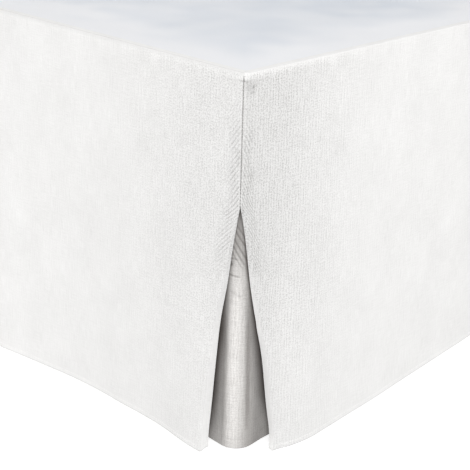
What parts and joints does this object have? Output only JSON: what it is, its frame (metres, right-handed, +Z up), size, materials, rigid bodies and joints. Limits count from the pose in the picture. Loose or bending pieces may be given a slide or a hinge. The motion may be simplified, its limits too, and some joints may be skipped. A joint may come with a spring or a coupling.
{
  "type": "bed skirt on a bed base",
  "caption": "Tailored linen bed skirt with split corners, its flat deck laid on a plain low bed base and its drops falling over the foot and sides to just above the floor.",
  "frame": {"origin": "on the floor, at the middle of the footprint", "axes": "+Y towards the head end, along the bed's length; +Z up; +X towards the right side as seen from the foot end, looking to the head"},
  "size_m": [1.5796, 2.0445, 0.383],
  "materials": {
    "skirt_linen": "matte plain-weave linen, off-white",
    "deck_cloth": "smooth thin cloth, cool white",
    "base_cloth": "plain woven cover, oatmeal",
    "leg_steel": "satin black powder coat"
  },
  "bodies": {
    "root": {"deck_panel": "deck_cloth", "foot_drop": "skirt_linen", "left_drop": "skirt_linen", "right_drop": "skirt_linen", "left_corner_underlay": "skirt_linen", "right_corner_underlay": "skirt_linen", "bed_base": "base_cloth", "leg_foot_left": "leg_steel", "leg_foot_right": "leg_steel", "leg_head_left": "leg_steel", "leg_head_right": "leg_steel", "leg_middle_foot": "leg_steel", "leg_middle_head": "leg_steel"}
  },
  "joints": []
}
